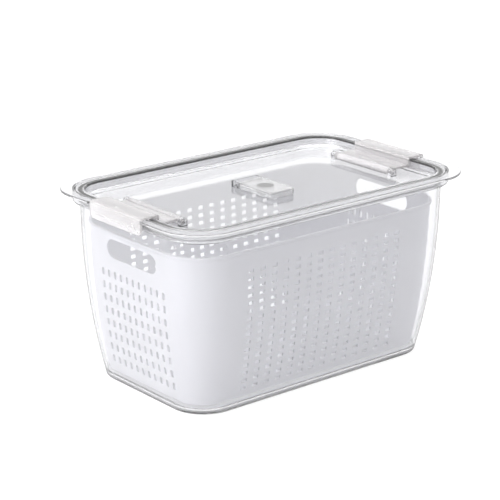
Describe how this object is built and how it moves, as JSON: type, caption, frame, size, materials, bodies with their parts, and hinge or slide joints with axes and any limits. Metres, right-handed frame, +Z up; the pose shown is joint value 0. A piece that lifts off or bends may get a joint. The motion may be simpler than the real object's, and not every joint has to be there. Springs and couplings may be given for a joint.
{
  "type": "fridge storage bin",
  "caption": "Clear lidded storage bin with a perforated white lift-out basket, two hinged end latches and a flip-up vent.",
  "frame": {"origin": "middle of the tub's base, on the surface that the bin stands on", "axes": "+X along the bin's length, +Y across its width, +Z up"},
  "size_m": [0.33, 0.2146, 0.174],
  "materials": {
    "tub_clear": "polished, clear",
    "lid_clear": "polished, clear",
    "latch_clear": "satin, clear",
    "vent_clear": "polished, clear",
    "basket_white": "fine satin, moulded",
    "seal_silicone": "matte, translucent"
  },
  "bodies": {
    "bin": {"outer_bin": "tub_clear"},
    "basket": {"drain_basket": "basket_white"},
    "lid": {"lid": "lid_clear", "lid_gasket": "seal_silicone"},
    "latch_left": {"latch_left": "latch_clear"},
    "latch_right": {"latch_right": "latch_clear"},
    "vent": {"vent_flap": "vent_clear", "vent_plug": "seal_silicone"}
  },
  "joints": [
    {"name": "basket_lift", "type": "slide", "parent": "bin", "child": "basket", "axis": [0, 0, 1], "range_m": [0, 0.18]},
    {"name": "lid_lift", "type": "slide", "parent": "basket", "child": "lid", "axis": [0, 0, 1], "range_m": [0, 0.08]},
    {"name": "latch_left_hinge", "type": "hinge", "parent": "lid", "child": "latch_left", "pos_m": [-0.1208, 0, 0.1646], "axis": [0, 1, 0], "range_deg": [0, 150]},
    {"name": "latch_right_hinge", "type": "hinge", "parent": "lid", "child": "latch_right", "pos_m": [0.1208, 0, 0.1646], "axis": [0, -1, 0], "range_deg": [0, 150]},
    {"name": "vent_hinge", "type": "hinge", "parent": "lid", "child": "vent", "pos_m": [0, 0.0222, 0.1632], "axis": [-1, 0, 0], "range_deg": [0, 95]}
  ]
}
